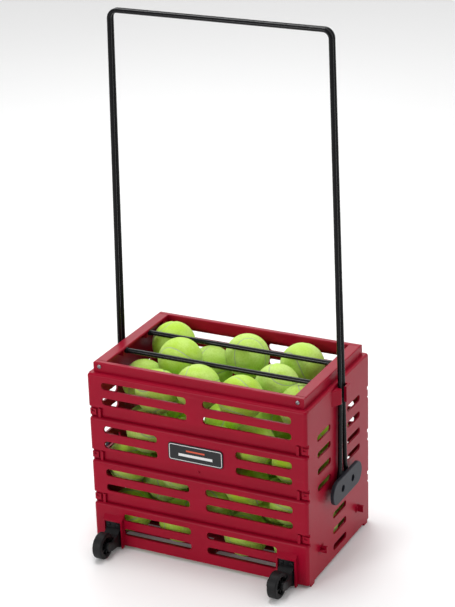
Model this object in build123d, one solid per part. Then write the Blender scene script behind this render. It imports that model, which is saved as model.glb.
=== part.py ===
from build123d import *

import math
import os
import random

# A wheeled hopper for tennis balls.  A slotted plastic basket with two roller bars across its
# open top, two wire bails that stand up as the handle or swing down as legs, and two fixed wheels.
# Millimetres.  +X is right, +Y is the rear, +Z is up.  The origin is on the floor, under the
# middle of the basket.  Each piece is written to parts/ under its own name.

# ---- basket shell -------------------------------------------------------------------------
BASKET_WIDTH = 350.0
BASKET_DEPTH = 225.0
SHELL_TOP = 279.0
SHELL_BOTTOM = 5.0
WALL = 3.0
EDGE_ROUND = 4.5
SEAM = 0.2                 # gap between neighbouring mouldings

BAND_COUNT = 4
BAND_PITCH = 70.0
BAND_HEIGHT = 52.0
CHANNEL_DEPTH = 7.5
BAND_CHAMFER = 4.0

SLOT_HEIGHT = 11.5
SLOT_ROUND = 5.0
SLOT_ROWS = (17.0, 41.5)   # below each band's top
SLOT_NEAR = 13.0           # inner end of a slot, from the middle
SLOT_OUTER_INSET = 23.5    # outer end, from the side panel's face
LABEL_SLOT_GAP = 19.0      # inner end beside the label, from the label
PAD_SLOT_GAP = 0.7         # outer end beside a wheel pad, from the pad
POST_INSET = (18.0, 14.0)  # channel post, from the side panel's face
POST_DEPTH = 4.0
TONGUE_HALF = 4.75
TONGUE_LENGTH = 10.0
TONGUE_PROUD = 2.8
TONGUE_WINDOW = (8.0, 2.5)  # outer and inner end, from the side panel's face

SIDE_SLOT_HEIGHT = 10.5
SIDE_SLOT_NEAR = 30.0
SIDE_SLOT_INSET = 36.0     # outer end, from the band face
SIDE_SLOT_DROP = 57.0      # top slot, below the shell's top
SIDE_SLOT_PITCH = 26.2
SIDE_SLOT_ROWS = 4
LOW_SLOT_HALF = 24.0
LOW_SLOT_TOP = 74.0
LOW_SLOT_ROWS = 3

FLOOR_SLOT_INSET = 30.0
FLOOR_SLOT_NEAR = 10.0
FLOOR_SLOT_WIDTH = 14.0
FLOOR_SLOT_ROWS = 6

# ---- rim and roller bars ------------------------------------------------------------------
RIM_HEIGHT = 15.4
RIM_SETBACK_X = 7.3
RIM_SETBACK_Y = 9.1
SIDE_RAIL_WIDTH = 17.7
END_RAIL_WIDTH = 8.4
RIM_ROUND = 1.5
BAR_RADIUS = 3.75
BAR_Y = 36.0
BAR_DROP = 6.2             # bar centre below the rim's top
BAR_END_GAP = 5.0          # bar end to the rail's outer wall
BUSH_WALL = 0.6
BUSH_LENGTH = 13.0
SOCKET_HALF = 7.0
SOCKET_DROP = 6.5
RETAINER_HALF = 38.0

# ---- bails and their pivots ---------------------------------------------------------------
WIRE_RADIUS = 3.175
BAIL_TOP = 790.6           # wire centre
BAIL_TAPER = 11.0          # how far each leg leans in at the top
TOP_WIRE_GAP = 0.35        # between the two bails' wires
CLIP_DROP = 17.0           # below the shell's top
CLIP_WIRE_GAP = 4.85
KINK_Z = 146.0
KINK_Y = 9.2
PIVOT_Y = 18.0
PIVOT_Z = 120.0
WIRE_OFFSET = 5.0          # wire centre outside the side panel
EYE_RADIUS = 7.5
EYE_THICKNESS = 4.0
TOP_BEND = 12.0
KINK_BEND = 40.0
CLIP_BEND = 500.0
PIN_RADIUS = 3.0
PIN_HEAD = (5.0, 1.8)
RUNNING_FIT = 0.05
BRACKET_LENGTH = 105.0
BRACKET_HEIGHT = 36.0
BRACKET_THICKNESS = 5.0
BRACKET_GAP = 0.45         # wire to bracket plate
PIN_RECESS = 3.5
COUNTERBORE_WALL = 2.5     # counterbore round the pin
SPACER = (15.0, 28.0)

CLIP_SIZE = (26.0, 24.0)
PEG_SIZE = 10.0
PEG_Y = 64.5
PEG_Z = 43.3
WIRE_RELIEF = 0.4          # snap features to the wire's inner side

# ---- wheels -------------------------------------------------------------------------------
WHEEL_RADIUS = 19.8
WHEEL_WIDTH = 15.0
WHEEL_INSET = 33.0         # wheel's middle, from the side panel's face
WHEEL_FORWARD = 37.0       # axle in front of the band face
FLOOR_CLEARANCE = 0.2
TYRE_DEPTH = 5.5
TYRE_ROUND = 2.5
AXLE_RADIUS = 3.0
AXLE_HEAD = (4.8, 1.6)
FORK_WALL = 3.0
FORK_TOP = 43.0
FORK_BOTTOM = 6.0
FORK_HALF = 12.5
FORK_SHOULDER = 35.0       # where the arms' upper edge meets the plate
FORK_TOE = 2.5             # where their lower edge does
BOSS_RADIUS = 7.0
BOSS_PROUD = 1.6
BOSS_FIT = 0.4             # axle head in the boss's recess
WEB_DEPTH = 3.6
WHEEL_GAP = 0.8            # tyre to fork arm
TREAD_GAP = 1.0            # tread to fork web
FORK_SCREW_HALF = 7.3
FORK_SCREW_Z = 37.0
PAD_HALF = 15.8
PAD_PROUD = 6.0
PAD_WALL = 2.5
PAD_TOP = 46.5
PAD_BOTTOM = 2.0

# ---- small pieces -------------------------------------------------------------------------
SCREW_HEAD = (3.2, 2.0)    # radius, height
SCREW_SHANK = (1.5, 9.0)
BRACKET_SCREW_HEAD = 1.6
FOOT_SIZE = (15.0, 12.0)
FOOT_SCREW_HEAD = (2.3, 1.8)
RIM_SCREW_INSET = 9.7      # from the rim's end
LABEL_SIZE = (88.0, 28.0, 1.6)
LABEL_DROP = 29.0          # label's middle, below its band's top
LABEL_ROUND = 5.0

# ---- balls --------------------------------------------------------------------------------
BALL_RADIUS = 33.5
BALL_GAP = 0.3
FILL_DROP = 50.0           # the heap's top below the shell's top, as a ball's middle
FILL_TRIES = 800
FILL_SEED = 5
FILL_LEAN = 0.15           # how much a ball prefers the front to a lower spot
FILL_OVERSHOOT = 1.7       # spots drawn past a wall are put against it
# Where the balls that show between the bars lie, each as x, y, z of its middle.
TOP_BALLS = (
    (-125, 64.5, 263.5), (-1, 64.5, 263.5), (89, 64.5, 263.5), (-81, 2, 269),
    (-64, 68, 232), (-18, -64.5, 263.5), (51, -65, 259), (79, -2.5, 256), (-135, -14, 231),
    (-83, -67, 246), (135, -39, 249),
)

# ---- derived planes -----------------------------------------------------------------------
SIDE_X = BASKET_WIDTH / 2
SIDE_INNER = SIDE_X - WALL
BAND_Y = -BASKET_DEPTH / 2
RIM_TOP = SHELL_TOP + RIM_HEIGHT
BAR_Z = RIM_TOP - BAR_DROP
CHANNEL_Y = BAND_Y + CHANNEL_DEPTH
INNER_Y = CHANNEL_Y + WALL
RIM_X = SIDE_X - RIM_SETBACK_X
RIM_Y = -BASKET_DEPTH / 2 + RIM_SETBACK_Y
RAIL_END_Y = RIM_Y + END_RAIL_WIDTH
WIRE_X = SIDE_X + WIRE_OFFSET
PLATE_X = WIRE_X + WIRE_RADIUS + BRACKET_GAP
CLIP_Z = SHELL_TOP - CLIP_DROP
CLIP_WIRE_Y = WIRE_RADIUS + CLIP_WIRE_GAP / 2
BAIL_TOP_Y = WIRE_RADIUS + TOP_WIRE_GAP / 2
BAIL_TOP_HALF = WIRE_X - BAIL_TAPER
SLOT_OUTER = SIDE_X - SLOT_OUTER_INSET
LABEL_SLOT_NEAR = LABEL_SIZE[0] / 2 + LABEL_SLOT_GAP
LABEL_Z = SHELL_TOP - BAND_PITCH - LABEL_DROP
RIM_SCREW_X = RIM_X - RIM_SCREW_INSET
WHEEL_X = SIDE_X - WHEEL_INSET
PAD_SLOT_OUTER = WHEEL_X - PAD_HALF - PAD_SLOT_GAP
AXLE_Y = BAND_Y - WHEEL_FORWARD
AXLE_Z = WHEEL_RADIUS + FLOOR_CLEARANCE


def block(x, y, z):
    """A box from three (low, high) pairs."""
    size = [high - low for low, high in (x, y, z)]
    middle = [(low + high) / 2 for low, high in (x, y, z)]
    return Pos(*middle) * Box(*size)


def rod_x(x, y, z, radius):
    """A cylinder along X between the two values of x."""
    return Pos(sum(x) / 2, y, z) * Rot(0, 90, 0) * Cylinder(radius, abs(x[1] - x[0]))


def rod_y(x, y, z, radius):
    """A cylinder along Y between the two values of y."""
    return Pos(x, sum(y) / 2, z) * Rot(90, 0, 0) * Cylinder(radius, abs(y[1] - y[0]))


def side_profile(points, x):
    """A prism along X, between the two values of x, from (y, z) points."""
    start, end = x
    face = make_face(Polyline(*[(start, y, z) for y, z in points], close=True))
    return extrude(face, amount=end - start, dir=(1, 0, 0))


def slot_y(x, z, height, y):
    """A round-ended slot cutter along Y."""
    outline = RectangleRounded(x[1] - x[0], height, min(SLOT_ROUND, height / 2 - 0.1))
    plane = Plane(origin=((x[0] + x[1]) / 2, y[0], z), x_dir=(1, 0, 0), z_dir=(0, 1, 0))
    return extrude(plane * outline, amount=y[1] - y[0])


def slot_x(y, z, height, x):
    """A round-ended slot cutter along X."""
    outline = RectangleRounded(y[1] - y[0], height, min(SLOT_ROUND, height / 2 - 0.1))
    plane = Plane(origin=(x[0], (y[0] + y[1]) / 2, z), x_dir=(0, 1, 0), z_dir=(1, 0, 0))
    return extrude(plane * outline, amount=x[1] - x[0])


def left_of(shape):
    """The same piece on the left side."""
    return mirror(shape, about=Plane.YZ)


def rear_of(shape):
    """The same piece turned round to the rear."""
    return Rot(0, 0, 180) * shape


def group(pieces):
    """Separate solids that share one node."""
    return Compound(children=list(pieces))


def write(name, shape):
    export_step(shape, f"parts/{name}.step")


# ---- basket -------------------------------------------------------------------------------
def band_tops():
    return [SHELL_TOP - BAND_PITCH * row for row in range(BAND_COUNT)]


def band_bottom(top):
    """The last band runs down to the lower edge of the shell."""
    is_last = top == band_tops()[-1]
    return SHELL_BOTTOM if is_last else top - BAND_HEIGHT


def band(top):
    """One raised band, with its front, top and end edges rounded."""
    low = band_bottom(top)
    body = block((-SIDE_X, SIDE_X), (BAND_Y, CHANNEL_Y), (low, top))
    front = body.edges().filter_by_position(Axis.Y, BAND_Y - 0.1, BAND_Y + 0.1)
    uprights = front.filter_by(Axis.Z)
    lips = body.edges().filter_by_position(Axis.Z, top - 0.1, top + 0.1)
    lips = lips.filter_by(lambda edge: edge.center().Y < CHANNEL_Y - 0.1)
    body = fillet(list(uprights) + list(lips), EDGE_ROUND)
    if low > SHELL_BOTTOM:
        slope = [(BAND_Y, low), (CHANNEL_Y, low - BAND_CHAMFER), (CHANNEL_Y, low)]
        body += side_profile(slope, (EDGE_ROUND - SIDE_X, SIDE_X - EDGE_ROUND))
    return body


def band_pocket(top):
    """The hollow behind a band."""
    low = band_bottom(top)
    return block(
        (-SIDE_INNER, SIDE_INNER), (BAND_Y + WALL, INNER_Y + 1), (low, top - WALL))


def band_slots(top, near, outer):
    """Two rows of slots, each in a left and a right half."""
    depth = (BAND_Y - 1, BAND_Y + WALL + 1)
    for row in SLOT_ROWS:
        yield slot_y((near, outer), top - row, SLOT_HEIGHT, depth)
        yield slot_y((-outer, -near), top - row, SLOT_HEIGHT, depth)


def channel_posts(top):
    """A short upright near each end of the channel under a band."""
    low = band_bottom(top)
    span = (top - BAND_PITCH, low - BAND_CHAMFER)
    x = [SIDE_X - inset for inset in POST_INSET]
    post = block(x, (CHANNEL_Y - POST_DEPTH, CHANNEL_Y), span)
    return post + left_of(post)


def banded_panel():
    """The corrugated panel, seen as the front one, with no slots."""
    panel = block(
        (-SIDE_INNER, SIDE_INNER), (CHANNEL_Y, INNER_Y), (SHELL_BOTTOM, SHELL_TOP))
    for top in band_tops():
        panel += band(top)
    for top in band_tops():
        panel -= band_pocket(top)
    for top in band_tops()[:-1]:
        panel += channel_posts(top)
    return panel


def wheel_pad():
    """The raised frame round the right fork's plate."""
    face = BAND_Y - PAD_PROUD
    outer = (WHEEL_X - PAD_HALF, WHEEL_X + PAD_HALF)
    roof = [(BAND_Y, PAD_TOP + PAD_PROUD), (face, PAD_TOP), (face, PAD_TOP - PAD_WALL),
            (BAND_Y, PAD_TOP - PAD_WALL)]
    pad = side_profile(roof, outer)
    for low in (outer[0], outer[1] - PAD_WALL):
        pad += block((low, low + PAD_WALL), (face, BAND_Y), (PAD_BOTTOM, PAD_TOP - PAD_WALL))
    return pad


def fork_screw_places():
    return [(side * WHEEL_X + step, FORK_SCREW_Z)
            for side in (-1, 1) for step in (-FORK_SCREW_HALF, FORK_SCREW_HALF)]


def front_panel():
    panel = banded_panel()
    first, second, third, last = band_tops()
    rows = ((first, SLOT_NEAR, SLOT_OUTER), (second, LABEL_SLOT_NEAR, SLOT_OUTER),
            (third, SLOT_NEAR, SLOT_OUTER), (last, SLOT_NEAR, PAD_SLOT_OUTER))
    for row in rows:
        for cutter in band_slots(*row):
            panel -= cutter
    pad = wheel_pad()
    panel += [pad, left_of(pad)]
    for x, z in fork_screw_places():
        panel -= rod_y(x, (BAND_Y - 1, BAND_Y + WALL + 1), z, SCREW_SHANK[0] + RUNNING_FIT)
    pip = rod_y(0, (CHANNEL_Y - 1.2, CHANNEL_Y), second - BAND_HEIGHT - 9, 2)
    return panel + pip


def rear_panel():
    panel = banded_panel()
    for top in band_tops():
        for cutter in band_slots(top, SLOT_NEAR, SLOT_OUTER):
            panel -= cutter
    return rear_of(panel)


def side_wall():
    """The flat wall with its rounded top edge and inward lip."""
    half = -CHANNEL_Y - SEAM
    wall = block((SIDE_INNER, SIDE_X), (-half, half), (SHELL_BOTTOM, SHELL_TOP))
    edge = wall.edges().filter_by(Axis.Y).sort_by(lambda e: e.center().X + e.center().Z)[-1]
    wall = fillet(edge, WALL - 0.2)
    lip_half = -INNER_Y - SEAM
    lip = block((RIM_X - WALL, SIDE_INNER), (-lip_half, lip_half), (SHELL_TOP - WALL, SHELL_TOP))
    return wall + lip


def corner_tongues():
    """Tongues that hook over the front and rear panels in each channel."""
    tongues = []
    out = CHANNEL_Y - TONGUE_PROUD
    window = [SIDE_X - inset for inset in TONGUE_WINDOW]
    for top in band_tops()[1:]:
        middle = top + (BAND_PITCH - BAND_HEIGHT - BAND_CHAMFER) / 2
        span = (middle - TONGUE_HALF, middle + TONGUE_HALF)
        tongue = block((SIDE_X - TONGUE_LENGTH, SIDE_X), (out, CHANNEL_Y - 0.1), span)
        tongue -= block(window, (out - 1, out + TONGUE_PROUD / 2), (middle, middle + TONGUE_HALF - 1))
        tongues.append(tongue)
        tongues.append(block((SIDE_INNER + 0.1, SIDE_X), (out, CHANNEL_Y + 1), span))
    return tongues


def side_slots():
    """Two upper columns of slots and a lower middle one."""
    through = (SIDE_INNER - 1, SIDE_X + 1)
    far = -BAND_Y - SIDE_SLOT_INSET
    for row in range(SIDE_SLOT_ROWS):
        z = SHELL_TOP - SIDE_SLOT_DROP - SIDE_SLOT_PITCH * row
        yield slot_x((SIDE_SLOT_NEAR, far), z, SIDE_SLOT_HEIGHT, through)
        yield slot_x((-far, -SIDE_SLOT_NEAR), z, SIDE_SLOT_HEIGHT, through)
    for row in range(LOW_SLOT_ROWS):
        z = LOW_SLOT_TOP - SIDE_SLOT_PITCH * row
        yield slot_x((-LOW_SLOT_HALF, LOW_SLOT_HALF), z, SIDE_SLOT_HEIGHT, through)


def bracket_screw_heights():
    return [PIVOT_Z - SPACER[1] / 4, PIVOT_Z + SPACER[1] / 4]


def side_panel():
    panel = side_wall()
    for tongue in corner_tongues():
        panel += [tongue, mirror(tongue, about=Plane.XZ)]
    for cutter in side_slots():
        panel -= cutter
    through = (SIDE_INNER - 1, SIDE_X + 1)
    for y in (-PIVOT_Y, PIVOT_Y):
        panel -= rod_x(through, y, PIVOT_Z, PIN_RADIUS + RUNNING_FIT)
    for z in bracket_screw_heights():
        panel -= rod_x(through, 0, z, SCREW_SHANK[0] + RUNNING_FIT)
    return panel


def floor_panel():
    x = SIDE_INNER - SEAM
    y = -INNER_Y - SEAM
    floor = block((-x, x), (-y, y), (SHELL_BOTTOM, SHELL_BOTTOM + WALL))
    length = x - FLOOR_SLOT_INSET - FLOOR_SLOT_NEAR
    pitch = 2 * y / (FLOOR_SLOT_ROWS + 0.5)
    outline = RectangleRounded(length, FLOOR_SLOT_WIDTH, SLOT_ROUND)
    for side in (-1, 1):
        for row in range(FLOOR_SLOT_ROWS):
            place = Pos(side * (length / 2 + FLOOR_SLOT_NEAR),
                        pitch * (row - (FLOOR_SLOT_ROWS - 1) / 2), SHELL_BOTTOM - 1)
            floor -= extrude(place * outline, amount=WALL + 2)
    return floor


def foot():
    """The right front foot, under the corner of the shell."""
    front = CHANNEL_Y + SEAM
    body = block((SIDE_X - FOOT_SIZE[0], SIDE_X), (front, front + FOOT_SIZE[1]), (0, SHELL_BOTTOM))
    x, z = foot_screw_place()
    return body - rod_y(x, (front - 1, front + SCREW_SHANK[1]), z, SCREW_SHANK[0] + RUNNING_FIT)


def foot_screw_place():
    return SIDE_X - FOOT_SIZE[0] / 4, FOOT_SCREW_HEAD[0] + FLOOR_CLEARANCE


def screw_y(x, y, z, head=SCREW_HEAD):
    """A pan-head screw driven towards +Y, its head against the face at y."""
    radius, height = head
    cap = rod_y(x, (y - height, y), z, radius)
    rim = cap.edges().filter_by(GeomType.CIRCLE).sort_by(Axis.Y)[0]
    cap = fillet(rim, height * 0.6)
    cap -= block((x - radius, x + radius), (y - height, y - height * 0.5), (z - 0.4, z + 0.4))
    cap -= block((x - 0.4, x + 0.4), (y - height, y - height * 0.5), (z - radius, z + radius))
    return cap + rod_y(x, (y, y + SCREW_SHANK[1] - 1), z, SCREW_SHANK[0])


def all_corners(piece):
    """A front right piece and its copies at the other three corners."""
    left = left_of(piece)
    return [piece, left, rear_of(piece), rear_of(left)]


# ---- rim and bars -------------------------------------------------------------------------
def rounded_top(rail, low_x, high_x, low_y, high_y):
    """Round the top edges that lie on the given outer planes."""
    def is_outer(edge):
        middle = edge.center()
        on_x = abs(middle.X - low_x) < 0.1 or abs(middle.X - high_x) < 0.1
        on_y = abs(middle.Y - low_y) < 0.1 or abs(middle.Y - high_y) < 0.1
        return abs(middle.Z - RIM_TOP) < 0.1 and (on_x or on_y)
    return fillet([edge for edge in rail.edges() if is_outer(edge)], RIM_ROUND)


def end_rail():
    """The front rail; its ends lap over the side rails."""
    rail = block((-RIM_X, RIM_X), (RIM_Y, RAIL_END_Y), (SHELL_TOP, RIM_TOP))
    rail = rounded_top(rail, -RIM_X, RIM_X, RIM_Y, RAIL_END_Y)
    for x in (-RIM_SCREW_X, RIM_SCREW_X):
        rail -= rod_y(x, (RIM_Y - 1, RAIL_END_Y + 1), rim_screw_z(), SCREW_SHANK[0] + RUNNING_FIT)
    return rail


def rim_screw_z():
    return (SHELL_TOP + RIM_TOP) / 2 + 1


def bush_radius():
    return BAR_RADIUS + RUNNING_FIT + BUSH_WALL


def bar_end():
    return RIM_X - WALL - BAR_END_GAP


def bush_span():
    end = bar_end() + 1
    return end - BUSH_LENGTH, end


def side_rail():
    """The right rail: an outer wall, a top flange and sockets for the bars."""
    half = -RAIL_END_Y - SEAM / 2
    inner = RIM_X - SIDE_RAIL_WIDTH
    wall_x = RIM_X - WALL
    rail = block((wall_x, RIM_X), (-half, half), (SHELL_TOP, RIM_TOP))
    flange = block((inner, RIM_X), (-half, half), (RIM_TOP - WALL, RIM_TOP))
    rail = rounded_top(rail + flange, inner, RIM_X, 0, 0)
    for y in (-BAR_Y, BAR_Y):
        rail += block((bush_span()[0] + 4, wall_x), (y - SOCKET_HALF, y + SOCKET_HALF),
                      (BAR_Z - SOCKET_DROP, RIM_TOP - WALL))
    rail -= block((inner - 1, wall_x), (-RETAINER_HALF, RETAINER_HALF), (RIM_TOP - WALL, RIM_TOP + 1))
    for y in (-BAR_Y, BAR_Y):
        rail -= rod_x((inner - 1, wall_x), y, BAR_Z, bush_radius() + RUNNING_FIT)
    for turn in (-1, 1):
        ends = sorted((turn * half, turn * (half - 14)))
        boss = block((inner + 1, wall_x), ends, (RIM_TOP - WALL - 7.5, RIM_TOP - WALL))
        hole = rod_y(RIM_SCREW_X, ends, rim_screw_z(), SCREW_SHANK[0] + RUNNING_FIT)
        rail += boss - hole
    return rail


def bar_retainer():
    """The cap that closes both bar sockets of the right rail."""
    inner = RIM_X - SIDE_RAIL_WIDTH
    half = RETAINER_HALF - SEAM / 2
    cap = block((inner, RIM_X - WALL - SEAM / 2), (-half, half), (RIM_TOP - WALL, RIM_TOP))
    cap = rounded_top(cap, inner, inner, half * 9, half * 9)
    for y in (-BAR_Y, BAR_Y):
        cap -= rod_x((inner - 1, RIM_X), y, BAR_Z, bush_radius() + RUNNING_FIT)
    return cap


def roller_bar(y):
    return rod_x((-bar_end(), bar_end()), y, BAR_Z, BAR_RADIUS)


def bar_bush(y):
    start, end = bush_span()
    sleeve = rod_x((start, end), y, BAR_Z, bush_radius())
    return sleeve - rod_x((start - 1, end + 1), y, BAR_Z, BAR_RADIUS + RUNNING_FIT)


# ---- bails --------------------------------------------------------------------------------
def eye_exit():
    """Where the wire leaves the flattened eye, on the line to the kink."""
    run = (PIVOT_Y - KINK_Y, KINK_Z - PIVOT_Z)
    share = (EYE_RADIUS - 2) / math.hypot(*run)
    return -PIVOT_Y + run[0] * share, PIVOT_Z + run[1] * share


def bail_leg_points():
    """The right leg's points, from the eye up to the top corner."""
    start_y, start_z = eye_exit()
    return [(WIRE_X, start_y, start_z), (WIRE_X, -KINK_Y, KINK_Z),
            (WIRE_X - 0.4, -CLIP_WIRE_Y, CLIP_Z), (BAIL_TOP_HALF, -BAIL_TOP_Y, BAIL_TOP)]


def front_bail():
    """One bent wire with an eye at each end, which hinges at the front holes."""
    right = bail_leg_points()
    points = [(-x, y, z) for x, y, z in right] + right[::-1]
    radii = [KINK_BEND, CLIP_BEND, TOP_BEND, TOP_BEND, CLIP_BEND, KINK_BEND]
    path = FilletPolyline(*points, radius=radii)
    section = Plane(origin=path @ 0, z_dir=path % 0) * Circle(WIRE_RADIUS)
    wire = sweep(section, path=path)
    for side in (-1, 1):
        span = (side * WIRE_X - EYE_THICKNESS / 2, side * WIRE_X + EYE_THICKNESS / 2)
        wire += rod_x(span, -PIVOT_Y, PIVOT_Z, EYE_RADIUS)
    for side in (-1, 1):
        span = (side * WIRE_X - 6, side * WIRE_X + 6)
        wire -= rod_x(span, -PIVOT_Y, PIVOT_Z, PIN_RADIUS + RUNNING_FIT)
    return wire


def pivot_bracket():
    """The right plate outside the eyes, with its spacer to the side panel."""
    face = PLATE_X + BRACKET_THICKNESS
    outline = RectangleRounded(BRACKET_LENGTH, BRACKET_HEIGHT, BRACKET_HEIGHT / 2 - 0.1)
    plane = Plane(origin=(PLATE_X, 0, PIVOT_Z), x_dir=(0, 1, 0), z_dir=(1, 0, 0))
    plate = extrude(plane * outline, amount=BRACKET_THICKNESS)
    plate = fillet(plate.faces().sort_by(Axis.X)[-1].edges(), 1.5)
    width, height = SPACER
    plate += block((SIDE_X, PLATE_X), (-width / 2, width / 2),
                   (PIVOT_Z - height / 2, PIVOT_Z + height / 2))
    for y in (-PIVOT_Y, PIVOT_Y):
        plate -= rod_x((SIDE_X, face + 1), y, PIVOT_Z, PIN_RADIUS + RUNNING_FIT)
        plate -= rod_x((face - PIN_RECESS, face + 1), y, PIVOT_Z, PIN_RADIUS + COUNTERBORE_WALL)
    for z in bracket_screw_heights():
        plate -= rod_x((SIDE_X - 1, SIDE_X + SCREW_SHANK[1]), 0, z, SCREW_SHANK[0] + RUNNING_FIT)
    return plate


def pivot_pin(y):
    """Headed inside the panel, it carries one bail's right eye."""
    end = PLATE_X + BRACKET_THICKNESS - PIN_RECESS
    radius, height = PIN_HEAD
    head = rod_x((SIDE_INNER - height, SIDE_INNER), y, PIVOT_Z, radius)
    return head + rod_x((SIDE_INNER, end), y, PIVOT_Z, PIN_RADIUS)


def bracket_screw(z):
    head = rod_x((SIDE_INNER - BRACKET_SCREW_HEAD, SIDE_INNER), 0, z, SCREW_HEAD[0])
    return head + rod_x((SIDE_INNER, SIDE_INNER + SCREW_SHANK[1]), 0, z, SCREW_SHANK[0])


def wire_clip():
    """The right clip's pad, behind both wires."""
    width, height = CLIP_SIZE
    top = SHELL_TOP - WALL - 2
    proud = WIRE_OFFSET - WIRE_RADIUS - WIRE_RELIEF - 0.4
    return block((SIDE_X, SIDE_X + proud), (-width / 2, width / 2), (top - height, top))


def lock_peg(y):
    """A leg-lock peg on the right panel."""
    half = PEG_SIZE / 2
    proud = WIRE_OFFSET - WIRE_RADIUS - WIRE_RELIEF
    return block((SIDE_X, SIDE_X + proud), (y - half, y + half), (PEG_Z - half, PEG_Z + half))


# ---- wheels -------------------------------------------------------------------------------
def arm_outline():
    """An arm's (y, z) outline, from the plate forward to the axle."""
    return [(BAND_Y, FORK_SHOULDER), (AXLE_Y + 25, AXLE_Z + 7), (AXLE_Y + 10, AXLE_Z + 2),
            (AXLE_Y, AXLE_Z + 2), (AXLE_Y, AXLE_Z - BOSS_RADIUS), (AXLE_Y + 7, AXLE_Z - 10.5),
            (AXLE_Y + 23, AXLE_Z - 12), (BAND_Y - FORK_WALL, FORK_TOE), (BAND_Y, FORK_TOE)]


def under_web():
    """The (y, z) outline of the room between the arms, behind the tyre and under the web."""
    face = BAND_Y - FORK_WALL
    return [(face, FORK_SHOULDER - WEB_DEPTH), (AXLE_Y + 22, AXLE_Z + 4), (AXLE_Y + 12, AXLE_Z - 5),
            (AXLE_Y + 12, 0), (face, 0)]


def wheel_fork():
    """The right fork: a screwed plate and two arms, joined by a web along their upper edges."""
    inner = WHEEL_WIDTH / 2 + WHEEL_GAP
    outer = inner + FORK_WALL
    between = (WHEEL_X - inner, WHEEL_X + inner)
    tips = (WHEEL_X - outer - BOSS_PROUD, WHEEL_X + outer + BOSS_PROUD)
    fork = side_profile(arm_outline(), (WHEEL_X - outer, WHEEL_X + outer))
    fork += rod_x(tips, AXLE_Y, AXLE_Z, BOSS_RADIUS)
    fork -= rod_x(between, AXLE_Y, AXLE_Z, WHEEL_RADIUS + TREAD_GAP)
    fork -= side_profile(under_web(), between)
    fork += block((WHEEL_X - FORK_HALF, WHEEL_X + FORK_HALF), (BAND_Y - FORK_WALL, BAND_Y),
                  (FORK_BOTTOM, FORK_TOP))
    fork -= rod_x(tips, AXLE_Y, AXLE_Z, AXLE_RADIUS + RUNNING_FIT)
    for low in (tips[0], tips[1] - BOSS_PROUD):
        fork -= rod_x((low, low + BOSS_PROUD), AXLE_Y, AXLE_Z, AXLE_HEAD[0] + BOSS_FIT)
    for step in (-FORK_SCREW_HALF, FORK_SCREW_HALF):
        x = WHEEL_X + step
        fork -= rod_y(x, (AXLE_Y, BAND_Y - FORK_WALL), FORK_SCREW_Z, SCREW_HEAD[0] + 0.3)
        fork -= rod_y(x, (BAND_Y - FORK_WALL - 1, BAND_Y + 1), FORK_SCREW_Z,
                      SCREW_SHANK[0] + RUNNING_FIT)
    return fork


def tyre():
    half = WHEEL_WIDTH / 2
    span = (WHEEL_X - half, WHEEL_X + half)
    ring = rod_x(span, AXLE_Y, AXLE_Z, WHEEL_RADIUS)
    ring = fillet(ring.edges().filter_by(GeomType.CIRCLE), TYRE_ROUND)
    return ring - rod_x(span, AXLE_Y, AXLE_Z, WHEEL_RADIUS - TYRE_DEPTH)


def wheel_hub():
    """A spoked disc that runs on the axle."""
    half = WHEEL_WIDTH / 2 - 1
    outer = WHEEL_RADIUS - TYRE_DEPTH
    boss = AXLE_RADIUS + 2.8
    hub = rod_x((WHEEL_X - half, WHEEL_X + half), AXLE_Y, AXLE_Z, outer)
    for low, high in ((-half - 1, -1.5), (1.5, half + 1)):
        recess = rod_x((WHEEL_X + low, WHEEL_X + high), AXLE_Y, AXLE_Z, outer - 1.6)
        recess -= rod_x((WHEEL_X + low, WHEEL_X + high), AXLE_Y, AXLE_Z, boss)
        hub -= recess
    for turn in range(6):
        spoke = block((WHEEL_X - half + 1, WHEEL_X + half - 1), (-0.9, 0.9), (boss - 0.5, outer - 1))
        hub += Pos(0, AXLE_Y, AXLE_Z) * Rot(60 * turn, 0, 0) * spoke
    return hub - rod_x((WHEEL_X - 9, WHEEL_X + 9), AXLE_Y, AXLE_Z, AXLE_RADIUS + RUNNING_FIT)


def axle():
    """A pin across the fork with a flat head at each end."""
    outer = WHEEL_WIDTH / 2 + WHEEL_GAP + FORK_WALL
    radius, height = AXLE_HEAD
    pin = rod_x((WHEEL_X - outer, WHEEL_X + outer), AXLE_Y, AXLE_Z, AXLE_RADIUS)
    for low in (WHEEL_X - outer - height, WHEEL_X + outer):
        pin += rod_x((low, low + height), AXLE_Y, AXLE_Z, radius)
    return pin


# ---- label and balls ----------------------------------------------------------------------
def label_plate():
    width, height, proud = LABEL_SIZE
    plane = Plane(origin=(0, BAND_Y, LABEL_Z), x_dir=(1, 0, 0), z_dir=(0, -1, 0))
    plate = extrude(plane * RectangleRounded(width, height, LABEL_ROUND), amount=proud)
    return fillet(plate.faces().sort_by(Axis.Y)[0].edges(), 0.5)


def lowest_free(x, y, placed, spacing):
    """The lowest height at (x, y) where a ball clears the floor and the placed balls."""
    z = SHELL_BOTTOM + WALL + BALL_RADIUS + BALL_GAP
    near = []
    for ball_x, ball_y, ball_z in placed:
        reach = spacing ** 2 - (x - ball_x) ** 2 - (y - ball_y) ** 2
        if reach > 0:
            near.append((ball_z, math.sqrt(reach)))
    for ball_z, reach in sorted(near, key=lambda pair: pair[0] - pair[1]):
        if ball_z - reach < z < ball_z + reach:
            z = ball_z + reach
    return z


def lean_height(place):
    """A spot's height, counted as more towards the rear."""
    return place[2] + FILL_LEAN * place[1]


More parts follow.
